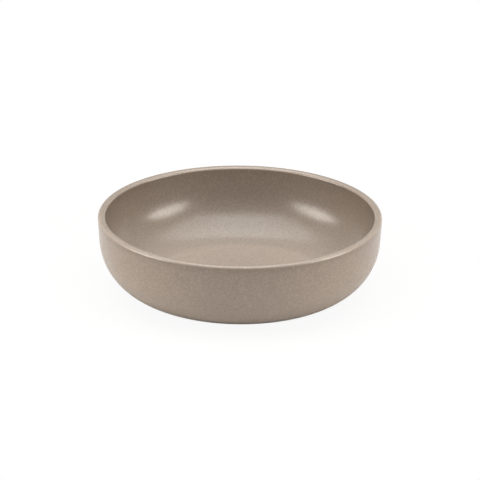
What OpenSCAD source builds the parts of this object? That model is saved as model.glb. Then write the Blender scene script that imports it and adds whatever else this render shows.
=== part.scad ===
// A low, wide stoneware bowl. Its wall stands almost upright and turns through one large round corner into
// a flat floor on a small foot ring. The fired clay body carries three coats of glaze: one inside, one
// outside and one in the recess of the base. The tread of the foot ring is bare clay. Every piece is a
// section turned about the Z axis, and the table is at height zero.

/* [Bowl] */
// Outer diameter at the rim, glaze included
bowl_d = 180; // [150:1:240]
// Height from the table to the top of the rim
bowl_h = 52; // [50:1:80]
// Lean of the outer wall from upright, in degrees
wall_draft = 3.5; // [0:0.5:8]
// Radius of the large round corner under the outer wall
corner_r = 35.5; // [20:0.5:38]

/* [Hollow] */
// Width of the rim, from outer wall to inner wall
wall_t = 4.8; // [4:0.1:7]
// Thickness of the floor over the recess in the base
floor_t = 5.4; // [4:0.1:6.5]
// How much more the inner wall leans than the outer one, in degrees
inner_lean = 1; // [0:0.5:3]
// How much tighter the hollow's round corner is than the one outside
corner_step = 3.5; // [2:0.5:6]

/* [Rim] */
// Rounding of the rim's outer edge
rim_outer_r = 1.7; // [1:0.1:1.9]
// Rounding of the rim's inner edge
rim_inner_r = 1.9; // [1:0.1:1.9]

/* [Foot ring] */
// Distance from the end of the large round corner in to the foot ring
foot_inset = 3.5; // [2:0.5:8]
// Width of the foot ring
foot_w = 5; // [4:0.1:8]
// Height of the foot ring under the underside around it
foot_h = 2; // [1.8:0.1:3]
// How much deeper the recess inside the foot ring is than the ring is high
recess_rise = 0.6; // [0.4:0.1:1]
// Fillet between the foot ring and the underside around it
foot_fillet_r = 0.8; // [0.5:0.1:0.9]
// Fillet between the foot ring and the recess
recess_fillet_r = 1.2; // [0.5:0.1:1.3]
// Rounding of both edges of the tread
tread_r = 0.6; // [0.3:0.1:0.6]

/* [Glaze] */
// Thickness of every coat of glaze
glaze_t = 0.4; // [0.2:0.05:0.6]
// Height of the bare band around the tread
bare_h = 0.8; // [0.7:0.1:0.9]

/* [Hidden] */
$fn = 180;
// How far a cutting shape runs past what it cuts
overrun = 5;
// How far a rounding runs on behind the sloping wall that it meets, in degrees
lap = 10;
// How deep that wall is sunk in the rounding, so that the two always cross and join
sink = 0.002;

// Levels over the table, and the lean and rounding of the hollow
bowl_r = bowl_d / 2;
recess_h = foot_h + recess_rise;
floor_h = recess_h + floor_t;
hollow_draft = wall_draft + inner_lean;
hollow_r = corner_r - corner_step;

// Centres of the rim's two roundings, as distance from the axis and height over the table
rim_outer_c = [bowl_r - rim_outer_r, bowl_h - rim_outer_r];
rim_inner_c = [bowl_r - wall_t + rim_inner_r, bowl_h - rim_inner_r];
// The inside coat and the outside coat meet on the crest of the rim
crest_x = (rim_outer_c.x + rim_inner_c.x) / 2;

// Centre of the large round corner: the outer wall touches it and the rim's outer rounding
corner_h = foot_h + corner_r;
corner_c = [
    rim_outer_c.x - (corner_r - rim_outer_r + sin(wall_draft) * (rim_outer_c.y - corner_h)) / cos(wall_draft),
    corner_h
];
// Centre of the hollow's round corner: the inner wall touches it and the rim's inner rounding
hollow_h = floor_h + hollow_r;
hollow_c = [
    rim_inner_c.x - (hollow_r + rim_inner_r + sin(hollow_draft) * (rim_inner_c.y - hollow_h)) / cos(hollow_draft),
    hollow_h
];

// The two sides of the foot ring, and the centres of their fillets
foot_outer_x = corner_c.x - foot_inset;
foot_inner_x = foot_outer_x - foot_w;
foot_fillet_c = [foot_outer_x + foot_fillet_r, foot_h - foot_fillet_r];
recess_fillet_c = [foot_inner_x - recess_fillet_r, recess_h - recess_fillet_r];

// The point at a distance from a centre, in a direction
function polar(centre, r, a) = centre + r * [cos(a), sin(a)];

// A slice of a disc between two directions, cut out by a kite that is larger than the disc
module slice(centre, r, from, to) {
    reach = 2 * r;
    middle = (from + to) / 2;
    intersection() {
        translate(centre) circle(r);
        polygon([centre, polar(centre, reach, from), polar(centre, reach, middle), polar(centre, reach, to)]);
    }
}

// A rectangle between two corners
module block(low, high) {
    translate(low) square(high - low);
}

// The whole bowl without its hollow and recess, at a depth under the finished surface
module outer_form(depth) {
    polygon([
        [0, foot_h + depth],
        [corner_c.x, foot_h + depth],
        polar(corner_c, corner_r - depth - sink, -wall_draft),
        polar(rim_outer_c, rim_outer_r - depth - sink, -wall_draft),
        [rim_outer_c.x, bowl_h - depth],
        [0, bowl_h - depth]
    ]);
    slice(corner_c, corner_r - depth, -90, lap - wall_draft);
    slice(rim_outer_c, rim_outer_r - depth, -wall_draft - lap, 90);
    block([0, 0], [foot_outer_x - depth, foot_h + depth]);
    difference() {
        block([foot_outer_x - depth, foot_fillet_c.y], [foot_fillet_c.x, foot_h + depth]);
        slice(foot_fillet_c, foot_fillet_r + depth, 90, 180);
    }
}

// The hollow up to a height, at a depth under the finished surface
module hollow_form(depth, top) {
    difference() {
        polygon([
            [0, floor_h - depth],
            [hollow_c.x, floor_h - depth],
            polar(hollow_c, hollow_r + depth - sink, -hollow_draft),
            polar(rim_inner_c, rim_inner_r - depth - sink, 180 - hollow_draft),
            rim_inner_c,
            [rim_inner_c.x, bowl_h - depth],
            [crest_x, bowl_h - depth],
            [crest_x, top],
            [0, top]
        ]);
        slice(rim_inner_c, rim_inner_r - depth, 90, 180 - hollow_draft + lap);
    }
    slice(hollow_c, hollow_r + depth, -90, lap - hollow_draft);
}

// The recess inside the foot ring down to a height, at a depth under the finished surface
module recess_form(depth, bottom) {
    polygon([
        [0, bottom],
        [foot_inner_x + depth, bottom],
        [foot_inner_x + depth, recess_fillet_c.y],
        [recess_fillet_c.x, recess_h + depth],
        [0, recess_h + depth]
    ]);
    slice(recess_fillet_c, recess_fillet_r + depth, 0, 90);
}

// What the rounding of an edge of the tread takes off: side is 1 on the outer edge and -1 on the inner one
module tread_cut(edge_x, side) {
    centre = [edge_x - side * tread_r, tread_r];
    difference() {
        block([min(centre.x, edge_x), 0], [max(centre.x, edge_x), tread_r]);
        slice(centre, tread_r, side > 0 ? -90 : 180, side > 0 ? 0 : 270);
    }
}

// The fired clay, which ends one coat of glaze under the finished surface
module stoneware_body() {
    color("#cbbda6")
    rotate_extrude()
    difference() {
        outer_form(glaze_t);
        hollow_form(glaze_t, bowl_h + overrun);
        recess_form(glaze_t, -overrun);
        tread_cut(foot_outer_x - glaze_t, 1);
        tread_cut(foot_inner_x + glaze_t, -1);
    }
}

// The coat inside, from the crest of the rim down the wall and across the floor
module inside_glaze() {
    color("#9f9285")
    rotate_extrude()
    difference() {
        hollow_form(glaze_t, bowl_h);
        hollow_form(0, bowl_h + overrun);
    }
}

// The coat outside, from the crest of the rim down to the bare band of the foot ring
module outside_glaze() {
    color("#908173")
    rotate_extrude()
    difference() {
        outer_form(0);
        outer_form(glaze_t);
        block([0, rim_outer_c.y], [crest_x, bowl_h + overrun]);
        block([0, -overrun], [bowl_r, bare_h]);
    }
}

// The coat in the recess, down to the bare band of the foot ring
module underside_glaze() {
    color("#7e7165")
    rotate_extrude()
    difference() {
        recess_form(glaze_t, bare_h);
        recess_form(0, -overrun);
    }
}

stoneware_body();
inside_glaze();
outside_glaze();
underside_glaze();
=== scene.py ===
# %% [markdown]
# # A stoneware bowl with a satin glaze
#
# The real bowl is one body of fired clay with glass on it. The potter dips the fired clay in glaze,
# wipes the foot ring bare and fires it again, and the glaze melts into a skin less than half a
# millimetre thick. So the scene has four pieces: the clay, and the coats of glaze inside, outside and
# in the recess of the base.
#
# The solid model comes first. It is loaded as a fixed frame, and every size that it can give is read
# from it, so that each piece made here lands exactly where the solid one is.

import math

import bpy
from mathutils import Matrix, Vector


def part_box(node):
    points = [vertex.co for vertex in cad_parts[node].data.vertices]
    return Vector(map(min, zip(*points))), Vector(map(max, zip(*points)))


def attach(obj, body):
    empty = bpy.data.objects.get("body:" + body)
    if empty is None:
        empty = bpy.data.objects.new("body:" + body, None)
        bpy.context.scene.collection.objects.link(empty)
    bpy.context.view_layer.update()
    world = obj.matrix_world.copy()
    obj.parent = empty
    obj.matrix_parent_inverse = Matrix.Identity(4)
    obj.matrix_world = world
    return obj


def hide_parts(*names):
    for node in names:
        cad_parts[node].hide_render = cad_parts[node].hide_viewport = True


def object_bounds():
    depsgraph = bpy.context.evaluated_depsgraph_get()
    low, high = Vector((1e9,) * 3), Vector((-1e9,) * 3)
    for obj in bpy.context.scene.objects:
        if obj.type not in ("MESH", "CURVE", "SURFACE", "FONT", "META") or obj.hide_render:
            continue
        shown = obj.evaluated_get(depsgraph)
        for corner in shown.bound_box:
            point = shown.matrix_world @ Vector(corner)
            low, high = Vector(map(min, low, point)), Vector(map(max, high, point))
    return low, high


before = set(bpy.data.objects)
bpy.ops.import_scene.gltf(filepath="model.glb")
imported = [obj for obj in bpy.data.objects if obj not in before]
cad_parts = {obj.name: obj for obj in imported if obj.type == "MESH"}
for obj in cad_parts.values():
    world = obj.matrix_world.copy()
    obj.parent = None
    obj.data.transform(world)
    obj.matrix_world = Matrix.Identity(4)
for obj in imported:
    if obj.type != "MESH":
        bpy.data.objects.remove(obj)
cad_low, cad_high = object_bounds()
MM = 0.001
print("Nodes:", ", ".join(sorted(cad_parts)))
print("Solid model, mm:", [round(side / MM, 2) for side in cad_high - cad_low])

# %% [markdown]
# ## The camera
#
# The camera looks down on the bowl from the front with a long lens, as for a catalogue. A long lens
# from far away keeps the rim's ellipse slim and its far side as wide as its near side. The camera
# could be placed by eye, but the rim's outline fixes it better: only one height, distance and lens
# give that ellipse together with that height of wall.

# %% Place the camera
CAMERA_ELEVATION = math.radians(21.586)
CAMERA_DISTANCE = 2014.6 * MM
CAMERA_ROLL = math.radians(0.447)
# A lens and its sensor are given in millimetres, whatever the scene's own unit
LENS_LENGTH = 237.84
SENSOR_WIDTH = 36
AIM = Vector((0.142, 0, 34.262)) * MM

forward = Vector((0, math.cos(CAMERA_ELEVATION), -math.sin(CAMERA_ELEVATION)))
level_right = Vector((1, 0, 0))
level_up = level_right.cross(forward)
right = math.cos(CAMERA_ROLL) * level_right + math.sin(CAMERA_ROLL) * level_up
up = math.cos(CAMERA_ROLL) * level_up - math.sin(CAMERA_ROLL) * level_right

lens = bpy.data.cameras.new("camera")
lens.sensor_width = SENSOR_WIDTH
lens.lens = LENS_LENGTH
camera = bpy.data.objects.new("camera", lens)
pose = Matrix((right, up, -forward)).transposed().to_4x4()
pose.translation = AIM - CAMERA_DISTANCE * forward
camera.matrix_world = pose
bpy.context.scene.collection.objects.link(camera)
bpy.context.scene.camera = camera
print("Camera at, mm:", [round(place / MM) for place in camera.matrix_world.translation])

# %% [markdown]
# ## The bowl's sizes
#
# A turned pot is known by its section: the line that a template would follow. The overall sizes and
# the thickness of the glaze come from the boxes of the solid pieces. The roundings and the lean of
# the wall can't be read from a box, so they are the ones on the drawing of the solid model.

# %% Read the sizes from the frame and name the rest
clay_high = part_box("stoneware_body")[1]
inside_low, inside_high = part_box("inside_glaze")
outside_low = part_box("outside_glaze")[0]
underside_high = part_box("underside_glaze")[1]

BOWL_R = cad_high.x
BOWL_H = cad_high.z
GLAZE = BOWL_H - clay_high.z
FLOOR_H = inside_low.z + GLAZE
RECESS_H = underside_high.z - GLAZE
CREST_X = inside_high.x
FOOT_INNER_X = underside_high.x - GLAZE
BARE_H = outside_low.z

WALL_T = 4.8 * MM
FOOT_W = 5 * MM
FOOT_H = 2 * MM
# How far the outer wall and the hollow's wall lean from upright, in degrees
WALL_LEAN = 3.5
HOLLOW_LEAN = 4.5
CORNER_R = 35.5 * MM
HOLLOW_R = 32 * MM
RIM_OUTER_R = 1.7 * MM
RIM_INNER_R = 1.9 * MM
FOOT_FILLET_R = 0.8 * MM
RECESS_FILLET_R = 1.2 * MM
TREAD_R = 0.6 * MM
FOOT_OUTER_X = FOOT_INNER_X + FOOT_W
overall = (2 * BOWL_R, BOWL_H, GLAZE)
print("Diameter, height and glaze, mm:", [round(size / MM, 2) for size in overall])

# %% [markdown]
# ## The section
#
# Every surface of the bowl is a chain of straight lines and arcs that run into each other smoothly.
# The same chain drawn a little deeper is the face of the clay under the glaze. So each chain is a
# function of its depth, and a coat is what lies between depth zero and the thickness of the glaze.
#
# The points could be dragged into place on a curve by hand. Arcs about known centres are better here,
# because a reflection in a glaze shows every flat spot and kink.

# %% Helpers for lines and arcs
# The largest turn from one point of an arc to the next, in degrees, and the fewest steps in an arc
ARC_STEP = 2.5
FEWEST_STEPS = 3
LINE_STEP = 3 * MM


def arc(centre, radius, start, end):
    """Points of an arc from one direction to another, in degrees."""
    steps = max(FEWEST_STEPS, math.ceil(abs(end - start) / ARC_STEP))
    turns = [math.radians(start + (end - start) * step / steps) for step in range(steps + 1)]
    return [centre + radius * Vector((math.cos(turn), math.sin(turn))) for turn in turns]


def even_steps(points):
    """The same chain with its long straight stretches cut into short ones."""
    chain = [points[0]]
    for point in points[1:]:
        last = chain[-1]
        steps = max(1, math.ceil((point - last).length / LINE_STEP))
        chain += [last.lerp(point, step / steps) for step in range(1, steps + 1)]
    return chain


def tangent_corner(rim_centre, reach, lean, centre_h):
    """The centre of the round corner whose wall leans by lean degrees and touches the rim's rounding."""
    slope = math.radians(lean)
    x = rim_centre.x - (reach + math.sin(slope) * (rim_centre.y - centre_h)) / math.cos(slope)
    return Vector((x, centre_h))


quarter = arc(Vector((0, 0)), CORNER_R, 0, 90)
print(f"A quarter turn has {len(quarter)} points, {(quarter[1] - quarter[0]).length / MM:.2f} mm apart")

# %% [markdown]
# ## The lines of the bowl
#
# Each rounding is named by its centre. The rim's two roundings lie just under the top of the rim. The
# hollow's round corner stands on the floor, and the outer one on the underside. Where a corner's centre
# is could be tried out by hand. It is worked out instead, because the wall between a corner and the rim
# has to touch them both.
#
# Three chains then draw the whole bowl: the hollow, the wall and the recess of the base.

# %% The chains of the section
RIM_OUTER_C = Vector((BOWL_R - RIM_OUTER_R, BOWL_H - RIM_OUTER_R))
RIM_INNER_C = Vector((BOWL_R - WALL_T + RIM_INNER_R, BOWL_H - RIM_INNER_R))
CORNER_C = tangent_corner(RIM_OUTER_C, CORNER_R - RIM_OUTER_R, WALL_LEAN, FOOT_H + CORNER_R)
HOLLOW_C = tangent_corner(RIM_INNER_C, HOLLOW_R + RIM_INNER_R, HOLLOW_LEAN, FLOOR_H + HOLLOW_R)
FOOT_FILLET_C = Vector((FOOT_OUTER_X + FOOT_FILLET_R, FOOT_H - FOOT_FILLET_R))
RECESS_FILLET_C = Vector((FOOT_INNER_X - RECESS_FILLET_R, RECESS_H - RECESS_FILLET_R))


def hollow_line(depth):
    """From the crest of the rim down the hollow's wall to the middle of its floor."""
    rim = arc(RIM_INNER_C, RIM_INNER_R - depth, 90, 180 - HOLLOW_LEAN)
    corner = arc(HOLLOW_C, HOLLOW_R + depth, -HOLLOW_LEAN, -90)
    return even_steps([Vector((CREST_X, BOWL_H - depth)), *rim, *corner, Vector((0, FLOOR_H - depth))])


def wall_line(depth):
    """From the crest of the rim down the outer wall and under the bowl to the side of the foot ring."""
    rim = arc(RIM_OUTER_C, RIM_OUTER_R - depth, 90, -WALL_LEAN)
    corner = arc(CORNER_C, CORNER_R - depth, -WALL_LEAN, -90)
    fillet = arc(FOOT_FILLET_C, FOOT_FILLET_R + depth, 90, 180)
    return even_steps([Vector((CREST_X, BOWL_H - depth)), *rim, *corner, *fillet])


def recess_line(depth):
    """From the middle of the recess out to the inner side of the foot ring."""
    fillet = arc(RECESS_FILLET_C, RECESS_FILLET_R + depth, 90, 0)
    return even_steps([Vector((0, RECESS_H + depth)), *fillet])


print("Centre of the wall's round corner, mm:", [round(place / MM, 2) for place in CORNER_C])
print("Centre of the hollow's round corner, mm:", [round(place / MM, 2) for place in HOLLOW_C])

# %% [markdown]
# ## Turning a section
#
# A bowl is made on a wheel or in a turning mould, and code can do the same: each point of the section
# becomes a ring of points, and each ring is joined to the next by a band of faces. The Screw modifier
# would do it too. Real points are better here, because some of them are moved later, to let the edge of
# the glaze waver.
#
# A point on the axis stays a single point, so its band is made of triangles. Run clockwise, with the
# axis on the left, an outline gives faces that look outward. They are shaded smooth, and only edges that
# turn sharply stay sharp.

# %% The turning helper
TURN_STEPS = 240
SHARP_ANGLE = math.radians(40)
TURNS = [math.tau * step / TURN_STEPS for step in range(TURN_STEPS)]


def turned(name, outline, closed=True):
    """A mesh object: an outline of distances from the axis and heights, turned about Z."""
    places = []
    rings = []
    for point in outline:
        start = len(places)
        if point.x > 0:
            places += [(point.x * math.cos(turn), point.x * math.sin(turn), point.y) for turn in TURNS]
            rings.append([start + step for step in range(TURN_STEPS)])
        else:
            places.append((0, 0, point.y))
            rings.append([start] * TURN_STEPS)

    faces = []
    for ring, following in zip(rings, rings[1:] + rings[:1] if closed else rings[1:]):
        for step in range(TURN_STEPS):
            corners = (ring[step - 1], following[step - 1], following[step], ring[step])
            face = list(dict.fromkeys(corners))
            if len(face) > 2:
                faces.append(face)

    mesh = bpy.data.meshes.new(name)
    mesh.from_pydata(places, [], faces)
    mesh.shade_smooth()
    mesh.set_sharp_from_angle(angle=SHARP_ANGLE)
    piece = bpy.data.objects.new(name, mesh)
    bpy.context.scene.collection.objects.link(piece)
    print(f"{name}: {len(outline)} rings, {len(faces)} faces")
    return piece


# %% [markdown]
# ## The clay body
#
# The clay is a little smaller than the finished bowl all over, by the thickness of the glaze. Only its
# foot shows. The tread of the foot ring has soft edges, because the potter rubs it smooth so that it
# doesn't scratch the table. It is made as one closed form: hollow, outer wall, foot, tread and recess.

# %% Make the clay body
tread_outer_c = Vector((FOOT_OUTER_X - GLAZE - TREAD_R, TREAD_R))
tread_inner_c = Vector((FOOT_INNER_X + GLAZE + TREAD_R, TREAD_R))
tread_line = even_steps(arc(tread_outer_c, TREAD_R, 0, -90) + arc(tread_inner_c, TREAD_R, 270, 180))
clay_line = hollow_line(GLAZE)[::-1] + wall_line(GLAZE)[1:] + tread_line + recess_line(GLAZE)[::-1]
clay_body = turned("clay_body", clay_line)

# %% [markdown]
# ## The bead at the edge of the glaze
#
# Where a coat of glaze ends above the bare tread it isn't cut off square: molten glass draws back into
# a small round bead, a little thicker than the coat. A Bevel modifier could round the edge off, but it
# only takes away. Here the coat's line runs on round the bead and back to the clay, so it can swell.

# %% The bead helper
BEAD_SWELL = 0.1 * MM
BEAD_STEPS = 8


def bead(line, outward):
    """The line with a bead at its end; outward is 1 on the foot ring's outer side and -1 inside it."""
    start = line[-1]
    points = []
    for step in range(1, BEAD_STEPS + 1):
        turn = math.pi / 2 * step / BEAD_STEPS
        depth = GLAZE * (1 - math.cos(turn)) - BEAD_SWELL * math.sin(2 * turn)
        points.append(Vector((start.x - outward * depth, start.y - (start.y - BARE_H) * math.sin(turn))))
    return line + points


print("Bead over the bare foot at, mm:", round(BARE_H / MM, 2))

# %% [markdown]
# ## The coats of glaze
#
# A coat is a skin of glass with two faces, one against the clay and one that shows. A Solidify modifier
# on one face would give much the same skin. The two lines of the section give it exactly: the line at
# depth zero and the line one coat deeper, run through the other way, close into the coat's own outline.

# %% Make the three coats
inside_coat = turned("inside_coat", hollow_line(GLAZE) + hollow_line(0)[::-1])
outside_coat = turned("outside_coat", bead(wall_line(0), 1) + wall_line(GLAZE)[::-1])
underside_coat = turned("underside_coat", recess_line(GLAZE) + bead(recess_line(0), -1)[::-1])

# %% [markdown]
# ## The wavering edge of the glaze
#
# A sponge wipes the glaze off the foot while the bowl turns, and its edge wanders a little. A Displace
# modifier with a texture could push the edge about, but it would also lift the coat off the clay. Here
# only the points close to the edge move, and only up or down. Three slow waves of different lengths,
# added up, look uneven without being random.

# %% Let the edges waver
# For each wave: how many of it go round the foot, its height, and the angle that it starts from
WAVES = ((3, 0.05 * MM, 0.4), (7, 0.04 * MM, 2.1), (17, 0.02 * MM, 5.0))
WAVER_REACH = 0.4 * MM


def waver(coat, shift):
    """Moves a coat's lower edge up and down round the foot; shift turns the waves about the axis."""
    for point in coat.data.vertices:
        hold = (point.co.z - BARE_H) / WAVER_REACH
        if hold < 1:
            turn = math.atan2(point.co.y, point.co.x) + shift
            rise = sum(height * math.sin(count * turn + phase) for count, height, phase in WAVES)
            point.co.z += rise * (1 - hold)


waver(outside_coat, 0)
waver(underside_coat, math.pi / 5)
lowest = min(point.co.z for point in outside_coat.data.vertices)
print("Lowest glaze over the table, mm:", round(lowest / MM, 2))

# %% [markdown]
# ## Pieces and frame
#
# Each mesh is listed with the solid piece that it stands for, and that solid piece is hidden. The solid
# pieces stay where they are for weight and touch, but the meshes are what is seen. Nothing on a bowl
# moves, so all ride on one body.

# %% Hang the pieces on one body and hide the solid ones
STANDS_FOR = {
    clay_body: ("stoneware_body", "bare_stoneware"),
    inside_coat: ("inside_glaze", "inside_glaze"),
    outside_coat: ("outside_glaze", "outside_glaze"),
    underside_coat: ("underside_glaze", "underside_glaze"),
}
for piece, (node, slot) in STANDS_FOR.items():
    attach(piece, "root")
    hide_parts(node)
    print(piece.name, "stands for", node)

# %% [markdown]
# ## Colours and nodes
#
# Colours are written as sRGB hex values, the way a paint program shows them, and turned to the linear
# values that a renderer adds up, by the formula of the sRGB standard. Node trees get long when every
# socket is set by hand, so one helper adds a node, sets it up and links it.

# %% The colour and node helpers
def linear(hex_colour):
    """The linear red, green, blue and alpha of an sRGB hex colour."""
    shares = [int(hex_colour[start:start + 2], 16) / 255 for start in (1, 3, 5)]
    return [s / 12.92 if s <= 0.04045 else ((s + 0.055) / 1.055) ** 2.4 for s in shares] + [1]


def add_node(tree, kind, settings=None, inputs=None):
    """A new node with its settings, and with a value or another node's output on each named input."""
    node = tree.nodes.new(kind)
    for name, value in (settings or {}).items():
        setattr(node, name, value)
    for name, value in (inputs or {}).items():
        if isinstance(value, bpy.types.NodeSocket):
            tree.links.new(value, node.inputs[name])
        else:
            node.inputs[name].default_value = value
    return node


print("Linear middle grey:", round(linear("#808080")[0], 3))

# %% [markdown]
# ## Spots in a colour
#
# Stoneware is never one plain colour: iron makes dark specks in it, crystals make pale flecks, and sand
# makes grains. The spots could be a picture laid round the bowl, but a picture has a seam. A noise fills
# space without one: a spot starts where the noise passes one value and is full where it reaches another.
# The same step serves for every kind of spot, so it is one helper.

# %% The spot helper
# The Mix node has a set of sockets for each kind of data: these are the ones for colours
MIX_A, MIX_B, MIX_RESULT = 6, 7, 2


def with_spots(tree, under, noise, spots):
    """
    A colour with spots over it. The spots are given as the noise where they start, the noise where they
    are full, how strong they are then, and their colour.
    """
    start, full, strength, hex_colour = spots
    span = {"Value": noise, "From Min": start, "From Max": full, "To Max": strength}
    cover = add_node(tree, "ShaderNodeMapRange", {}, span).outputs["Result"]
    layers = {0: cover, MIX_A: under, MIX_B: linear(hex_colour)}
    return add_node(tree, "ShaderNodeMix", {"data_type": "RGBA"}, layers).outputs[MIX_RESULT]


print("Colour sockets of the Mix node:", MIX_A, MIX_B, MIX_RESULT)

# %% [markdown]
# ## The colour of a satin glaze
#
# A satin stoneware glaze is glass filled with crystals too small to see. The crystals scatter light,
# which gives the glaze its own chalky colour. Iron in the clay comes through it as fine dark specks, with
# paler flecks between them. Slower, fainter clouds show where the coat is a little thicker.
#
# The scale of a noise is one over the real size of what it draws. The real specks are finer than the
# ones here, which are drawn as coarse as they need to be to show in a picture of the whole bowl. Under
# them lies a colour that changes with the height over the table, so it comes from a ramp. Besides the
# glaze's own tones, the ramp holds painted shade and painted highlights.

# %% The glaze's colour
SPECK_SIZE = 1.2 * MM
CLOUD_SIZE = 9 * MM
CLOUD_DETAIL = 3
# A noise wanders about 0.5: the specks are where it is higher, and the flecks where it is lower
SPECKS = (0.5, 0.7, 0.25, "#6a594a")
FLECKS = (0.5, 0.3, 0.08, "#d0c3b4")
DARKEST_CLOUD, PALEST_CLOUD = 0.95, 1.05
# A new ramp has a stop at each end, and the others start out between them
MIDWAY = 0.5


def glaze_colour(tree, place, fine, hues_and_painted_light):
    """The colour of a glaze at each place, painted light from the height ramp included; fine is the noise
    that its specks follow.
    """
    height = add_node(tree, "ShaderNodeSeparateXYZ", {}, {"Vector": place}).outputs["Z"]
    share = add_node(tree, "ShaderNodeMath", {"operation": "DIVIDE"}, {0: height, 1: BOWL_H}).outputs[0]
    ramp = add_node(tree, "ShaderNodeValToRGB", {}, {"Fac": share})
    stops = ramp.color_ramp.elements
    while len(stops) < len(hues_and_painted_light):
        stops.new(MIDWAY)
    for stop, (level, hue) in zip(stops, hues_and_painted_light):
        stop.position = level / BOWL_H
        stop.color = linear(hue)

    specked = with_spots(tree, ramp.outputs["Color"], fine, SPECKS)
    flecked = with_spots(tree, specked, fine, FLECKS)
    slow_noise = {"Vector": place, "Scale": 1 / CLOUD_SIZE, "Detail": CLOUD_DETAIL}
    slow = add_node(tree, "ShaderNodeTexNoise", {}, slow_noise).outputs["Fac"]
    shades = {"Value": slow, "To Min": DARKEST_CLOUD, "To Max": PALEST_CLOUD}
    cloud = add_node(tree, "ShaderNodeMapRange", {}, shades).outputs["Result"]
    clouding = {0: flecked, "Scale": cloud}
    return add_node(tree, "ShaderNodeVectorMath", {"operation": "SCALE"}, clouding).outputs[0]


print("Specks and clouds, mm:", round(SPECK_SIZE / MM, 1), round(CLOUD_SIZE / MM, 1))

# %% [markdown]
# ## The surface of a satin glaze
#
# The crystals also leave the glaze not quite smooth, so a lamp shows in it as a soft patch and not as a
# sharp mirror image. Glass of this kind has an IOR of 1.5 to 1.6 and isn't metallic. A clear coat over
# a matt colour could give a soft patch too, but a satin glaze is one layer, and one layer is simpler.
#
# Its roughness and a very slight ripple follow the noise of the specks, because the surface is roughest
# where they come through.

# %% The glaze
# How many finer layers the noise of the specks has, and how strong each is beside the one before
SPECK_DETAIL = 2
SPECK_ROUGHNESS = 0.6
# The roughness where the noise is lowest and where it is highest
SMOOTHEST, ROUGHEST = 0.2, 0.3
RIPPLE_STRENGTH = 0.15
RIPPLE_DEPTH = 0.02 * MM
GLAZE_IOR = 1.58


def satin_glaze(name, hues_and_painted_light):
    """A satin glaze. Its colour follows a list of heights over the table and the colour there, painted
    light included.
    """
    material = bpy.data.materials.new(name)
    material.use_nodes = True
    tree = material.node_tree
    shader = tree.nodes["Principled BSDF"]
    place = add_node(tree, "ShaderNodeTexCoord").outputs["Object"]
    fine_noise = {"Vector": place, "Scale": 1 / SPECK_SIZE, "Detail": SPECK_DETAIL}
    fine_noise["Roughness"] = SPECK_ROUGHNESS
    fine = add_node(tree, "ShaderNodeTexNoise", {}, fine_noise).outputs["Fac"]
    gloss_range = {"Value": fine, "To Min": SMOOTHEST, "To Max": ROUGHEST}
    gloss = add_node(tree, "ShaderNodeMapRange", {}, gloss_range)
    ripple = {"Height": fine, "Strength": RIPPLE_STRENGTH, "Distance": RIPPLE_DEPTH}
    skin = add_node(tree, "ShaderNodeBump", {}, ripple)
    tree.links.new(glaze_colour(tree, place, fine, hues_and_painted_light), shader.inputs["Base Color"])
    tree.links.new(gloss.outputs["Result"], shader.inputs["Roughness"])
    tree.links.new(skin.outputs["Normal"], shader.inputs["Normal"])
    shader.inputs["IOR"].default_value = GLAZE_IOR
    print(f"{name}: {len(tree.nodes)} nodes, {len(hues_and_painted_light)} hues")
    return material


# %% [markdown]
# ## The colours of the coats
#
# A glaze isn't one even colour, but most of the change with height here is painted light. The pale floor
# of the hollow is a painted sheen. Up the walls, inside and out, the colour darkens to a painted shade
# that is darkest just under the rim. Over the rim's roundings and crest the glaze draws so thin that the
# pale clay shows through, which potters call breaking, and the pale rim is also a painted highlight
# there. The dark band outside in the turn to the foot is a painted shadow. The colour could be mixed in
# Weight Paint, but it follows the height, so a ramp over Z is simpler.

# %% Glaze the bowl
# The pale rim: partly the glaze breaking over it, partly a painted highlight on its roundings
RIM_BREAK_AND_HIGHLIGHT_HEX = "#b0a59b"
# A painted shadow in the turn to the foot
FOOT_PAINTED_SHADOW_HEX = "#5f5349"
UNDERSIDE_HEX = "#7a6d61"
# The height where the painted shade under the rim is darkest
DARKEST_PAINTED_SHADE_H = BOWL_H - 1.7 * MM
# Heights over the table, and the colour there: the glaze's own tones with painted light among them
INSIDE_HUES_AND_PAINTED_LIGHT = [
    # A painted sheen on the floor of the hollow
    (FLOOR_H, "#b5a89d"),
    (FLOOR_H + 0.8 * MM, "#aa9e94"),
    (FLOOR_H + 7 * MM, "#a0958a"),
    # Painted shade on the wall, darkest just under the rim
    (DARKEST_PAINTED_SHADE_H, "#706459"),
    # The rim's inner rounding: the glaze breaking, and a painted highlight
    (BOWL_H - 0.6 * MM, "#ada197"),
    (BOWL_H, RIM_BREAK_AND_HIGHLIGHT_HEX),
]
OUTSIDE_HUES_AND_PAINTED_LIGHT = [
    # A painted shadow in the turn to the foot, up to this height
    (0, FOOT_PAINTED_SHADOW_HEX),
    (FOOT_H + 5 * MM, FOOT_PAINTED_SHADOW_HEX),
    (FOOT_H + 8 * MM, "#887c70"),
    # Painted shade that grows darker towards the rim
    (BOWL_H - 6 * MM, "#7f7267"),
    (DARKEST_PAINTED_SHADE_H, "#74685c"),
    # The rim's outer rounding: the glaze breaking, and a painted highlight
    (BOWL_H - 0.5 * MM, "#a0948a"),
    (BOWL_H, RIM_BREAK_AND_HIGHLIGHT_HEX),
]
UNDERSIDE_HUES = [(0, UNDERSIDE_HEX), (RECESS_H, UNDERSIDE_HEX)]
inside_coat.data.materials.append(satin_glaze("satin_glaze_inside_painted_light", INSIDE_HUES_AND_PAINTED_LIGHT))
outside_coat.data.materials.append(satin_glaze("satin_glaze_outside_painted_light", OUTSIDE_HUES_AND_PAINTED_LIGHT))
underside_coat.data.materials.append(satin_glaze("satin_glaze_underside", UNDERSIDE_HUES))

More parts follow.
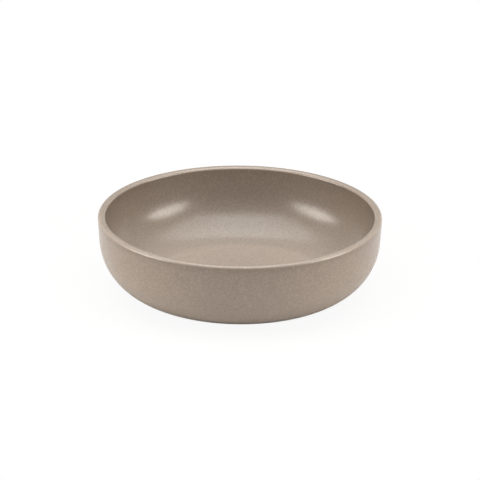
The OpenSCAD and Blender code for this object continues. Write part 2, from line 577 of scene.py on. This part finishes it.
# %% [markdown]
# ## The colour of bare stoneware
#
# Fired stoneware without glaze is a fine, hard, sandy clay, warmer and paler than the glaze, and quite
# matt. It is full of grains of sand, and darker specks of iron lie further apart. The sand follows a
# noise. The specks could too, but a noise makes them ragged. A Voronoi pattern makes each speck round,
# because it measures how far it is to the nearest of many scattered points.
#
# The bowl stands on its bare tread, so the tread shows only from below and close up, and its patterns
# keep their real sizes.

# %% The bare clay's colour
GRAIN_SIZE = 0.5 * MM
GRAIN_DETAIL = 3
IRON_SIZE = 1.6 * MM
CLAY_HEX = "#cbbda5"
SAND = (0.35, 0.7, 0.6, "#b39e80")
# A speck is full close to its point and ends a fifth of IRON_SIZE away from it
IRON = (0.2, 0.08, 0.7, "#7a5c40")
CLAY_ROUGHNESS = 0.85

bare_clay = bpy.data.materials.new("bare_stoneware")
bare_clay.use_nodes = True
clay_tree = bare_clay.node_tree
clay_shader = clay_tree.nodes["Principled BSDF"]
clay_place = add_node(clay_tree, "ShaderNodeTexCoord").outputs["Object"]
grain_noise = {"Vector": clay_place, "Scale": 1 / GRAIN_SIZE, "Detail": GRAIN_DETAIL}
grain = add_node(clay_tree, "ShaderNodeTexNoise", {}, grain_noise).outputs["Fac"]
sandy = with_spots(clay_tree, linear(CLAY_HEX), grain, SAND)
iron_points = {"Vector": clay_place, "Scale": 1 / IRON_SIZE}
iron = add_node(clay_tree, "ShaderNodeTexVoronoi", {}, iron_points).outputs["Distance"]
clay_tree.links.new(with_spots(clay_tree, sandy, iron, IRON), clay_shader.inputs["Base Color"])
clay_shader.inputs["Roughness"].default_value = CLAY_ROUGHNESS
clay_body.data.materials.append(bare_clay)
print("Clay grains and iron specks, mm:", round(GRAIN_SIZE / MM, 1), round(IRON_SIZE / MM, 1))

# %% [markdown]
# ## The trimming rings
#
# The tool that trims the foot leaves fine rings in the clay, which wander a little because it drags
# grains of sand along. The rings could be modelled, but they are far too fine to be worth points, so
# they are a bump: a wave that runs out from the axis, with the grains added to it.

# %% The relief of the bare clay
RING_PITCH = 0.8 * MM
WANDER = 0.6
WANDER_SIZE = 4 * MM
RING_SHARE = 0.5
RELIEF_STRENGTH = 0.6
RELIEF_DEPTH = 0.04 * MM

# A wave of scale 1 repeats twenty times in tau units of length, and its detail is scaled once more
ring_scale = math.tau / 20 / RING_PITCH
ring_kind = {"wave_type": "RINGS", "rings_direction": "Z"}
ring_wave = {"Vector": clay_place, "Scale": ring_scale, "Distortion": WANDER}
ring_wave["Detail Scale"] = 1 / (ring_scale * WANDER_SIZE)
rings = add_node(clay_tree, "ShaderNodeTexWave", ring_kind, ring_wave).outputs["Fac"]
relief_sum = {0: rings, 1: RING_SHARE, 2: grain}
relief = add_node(clay_tree, "ShaderNodeMath", {"operation": "MULTIPLY_ADD"}, relief_sum).outputs[0]
clay_relief = {"Height": relief, "Strength": RELIEF_STRENGTH, "Distance": RELIEF_DEPTH}
clay_bump = add_node(clay_tree, "ShaderNodeBump", {}, clay_relief)
clay_tree.links.new(clay_bump.outputs["Normal"], clay_shader.inputs["Normal"])
print("Trimming rings, mm apart:", round(RING_PITCH / MM, 1))

# %% [markdown]
# ## The paper sweep
#
# The bowl stands on a sheet of white paper that runs on flat and then sweeps up into a backdrop, with no
# edge where the two meet. A straight sheet would do for one view. This one is turned about the bowl's
# axis, so every view has the same background.

# %% Make the paper sweep
# The paper is far larger than the bowl, so its sizes are in metres
PAPER_R = 9.5
SWEEP_R = 0.5
PAPER_TOP = 1.2
SHADOW_R = 0.12
WHITE_R = 0.3

sweep_c = Vector((PAPER_R, SWEEP_R))
flat_line = [Vector((0, 0)), Vector((SHADOW_R, 0)), Vector((WHITE_R, 0))]
sweep_line = [*arc(sweep_c, SWEEP_R, -90, 0), Vector((PAPER_R + SWEEP_R, PAPER_TOP))]
paper = turned("paper_sweep", flat_line + sweep_line, closed=False)

# %% [markdown]
# ## White paper
#
# In a catalogue picture the paper is pure white. More lamps could make it so, but they would also bleach
# the bowl. Instead the paper has a plain white glow that only the camera and reflections see, and the
# Light Path node picks these out. Close to the bowl the camera sees a little of the lit paper through
# the glow, which keeps the bowl's soft shadow, and a reflection sees only the lit paper.

# %% The white paper
PAPER_HEX = "#eeeeee"
PAPER_ROUGHNESS = 0.9
# How much of the glow is seen close to the bowl, by each kind of ray that sees it further off
NEAR_GLOW = {"Is Camera Ray": 0.92, "Is Glossy Ray": 0, "Is Transmission Ray": 0}

matt_paper = bpy.data.materials.new("matt_white_paper")
matt_paper.use_nodes = True
paper_tree = matt_paper.node_tree
paper_shader = paper_tree.nodes["Principled BSDF"]
paper_shader.inputs["Base Color"].default_value = linear(PAPER_HEX)
paper_shader.inputs["Roughness"].default_value = PAPER_ROUGHNESS
paper_shader.inputs["Specular IOR Level"].default_value = 0
path = add_node(paper_tree, "ShaderNodeLightPath")
paper_place = add_node(paper_tree, "ShaderNodeTexCoord").outputs["Object"]
distance = add_node(paper_tree, "ShaderNodeVectorMath", {"operation": "LENGTH"}, {0: paper_place})
span = {"Value": distance.outputs["Value"], "From Min": SHADOW_R, "From Max": WHITE_R, "To Max": 1}
glow_seen = 0
for kind, near in NEAR_GLOW.items():
    share = add_node(paper_tree, "ShaderNodeMapRange", {}, span | {"To Min": near}).outputs["Result"]
    kinds = {0: share, 1: path.outputs[kind], 2: glow_seen}
    glow_seen = add_node(paper_tree, "ShaderNodeMath", {"operation": "MULTIPLY_ADD"}, kinds).outputs[0]
glow = add_node(paper_tree, "ShaderNodeEmission", {}, {"Color": linear("#ffffff"), "Strength": 1})
sides = {0: glow_seen, 1: paper_shader.outputs["BSDF"], 2: glow.outputs["Emission"]}
shown = add_node(paper_tree, "ShaderNodeMixShader", {}, sides)
paper_tree.links.new(shown.outputs["Shader"], paper_tree.nodes["Material Output"].inputs["Surface"])
paper.data.materials.append(matt_paper)
print("The paper is pure white from, m:", WHITE_R)

# %% [markdown]
# ## Soft light
#
# Two oval softboxes stand low at the sides, a little in front of the bowl. They make the two soft
# patches on the far wall of the hollow: a round hollow mirrors the box on the right into its left side
# and the one on the left into its right side. A wide softbox hangs overhead and gives most of the
# light. Together with a narrower one in front of it, it makes the pale crescent in the hollow's round
# corner. A sky picture could light the bowl too, but lamps can be moved until each of these patches
# falls where it should.
#
# Each softbox is an area lamp that looks at the bowl. Its brightness is given as a colour's is: 1 is as
# bright as white paper in full light. An area lamp is that bright when its power is its area times pi.
# A cloth grid on each box keeps its light near its axis, which the lamp's spread stands for. Blender
# keeps the power the same and makes the axis brighter, so the last factor takes that back. The cloth in
# front of the bulbs is a slightly warm white, and on the oval boxes a little warmer still.

# %% Hang the softboxes
CLOTH_HEX = {"RECTANGLE": "#fffdfa", "ELLIPSE": "#fff8f0"}
FRONT_SHARE = {"RECTANGLE": 1, "ELLIPSE": math.pi / 4}
GRID_SPREAD = math.radians(120)
GRID_FACTOR = 1 - GRID_SPREAD / 2 / math.tan(GRID_SPREAD / 2)


def softbox(name, shape, azimuth, elevation, distance, width, height, brightness):
    """
    A softbox that looks at the bowl. Azimuth 0 is behind the bowl, 90 on its right and 180 in front of
    it, in degrees; distance, width and height are in metres.
    """
    turn, rise = math.radians(azimuth), math.radians(elevation)
    outward = Vector((math.sin(turn) * math.cos(rise), math.cos(turn) * math.cos(rise), math.sin(rise)))
    lamp = bpy.data.lights.new(name, "AREA")
    lamp.shape = shape
    lamp.size = width
    lamp.size_y = height
    lamp.color = linear(CLOTH_HEX[shape])[:3]
    lamp.spread = GRID_SPREAD
    lamp.energy = brightness * math.pi * width * height * FRONT_SHARE[shape] * GRID_FACTOR
    holder = bpy.data.objects.new(name, lamp)
    holder.location = outward * distance
    holder.rotation_euler = outward.to_track_quat("Z", "Y").to_euler()
    holder.visible_camera = False
    bpy.context.scene.collection.objects.link(holder)
    print(name, "at, mm:", [round(place / MM) for place in holder.location])


# After the shape: azimuth, elevation, distance, width, height and brightness
softbox("right_softbox", "ELLIPSE", 108.5, 14.3, 0.75, 0.57, 0.42, 9.1)
softbox("left_softbox", "ELLIPSE", -105.5, 14.3, 0.75, 0.64, 0.42, 8.9)
softbox("overhead_softbox", "RECTANGLE", 180, 88, 1.5, 2.7, 1.5, 3.1)
softbox("front_softbox", "RECTANGLE", 180, 58, 1.75, 2.4, 0.56, 2.25)

# %% [markdown]
# ## The room and the view
#
# The walls and ceiling of a studio give back a little light from everywhere, which keeps the shadows
# from going black. They could be modelled, but an even world does the same here. The Standard view
# shows colours as they are worked out; a filmic view would soften the white paper to grey.

# %% Room light and view
ROOM_LIGHT = 0.02
room = bpy.data.worlds.new("room")
room.use_nodes = True
room.node_tree.nodes["Background"].inputs["Color"].default_value = linear("#ffffff")
room.node_tree.nodes["Background"].inputs["Strength"].default_value = ROOM_LIGHT
bpy.context.scene.world = room
bpy.context.scene.view_settings.view_transform = "Standard"
print("Room light beside white paper in full light:", ROOM_LIGHT)
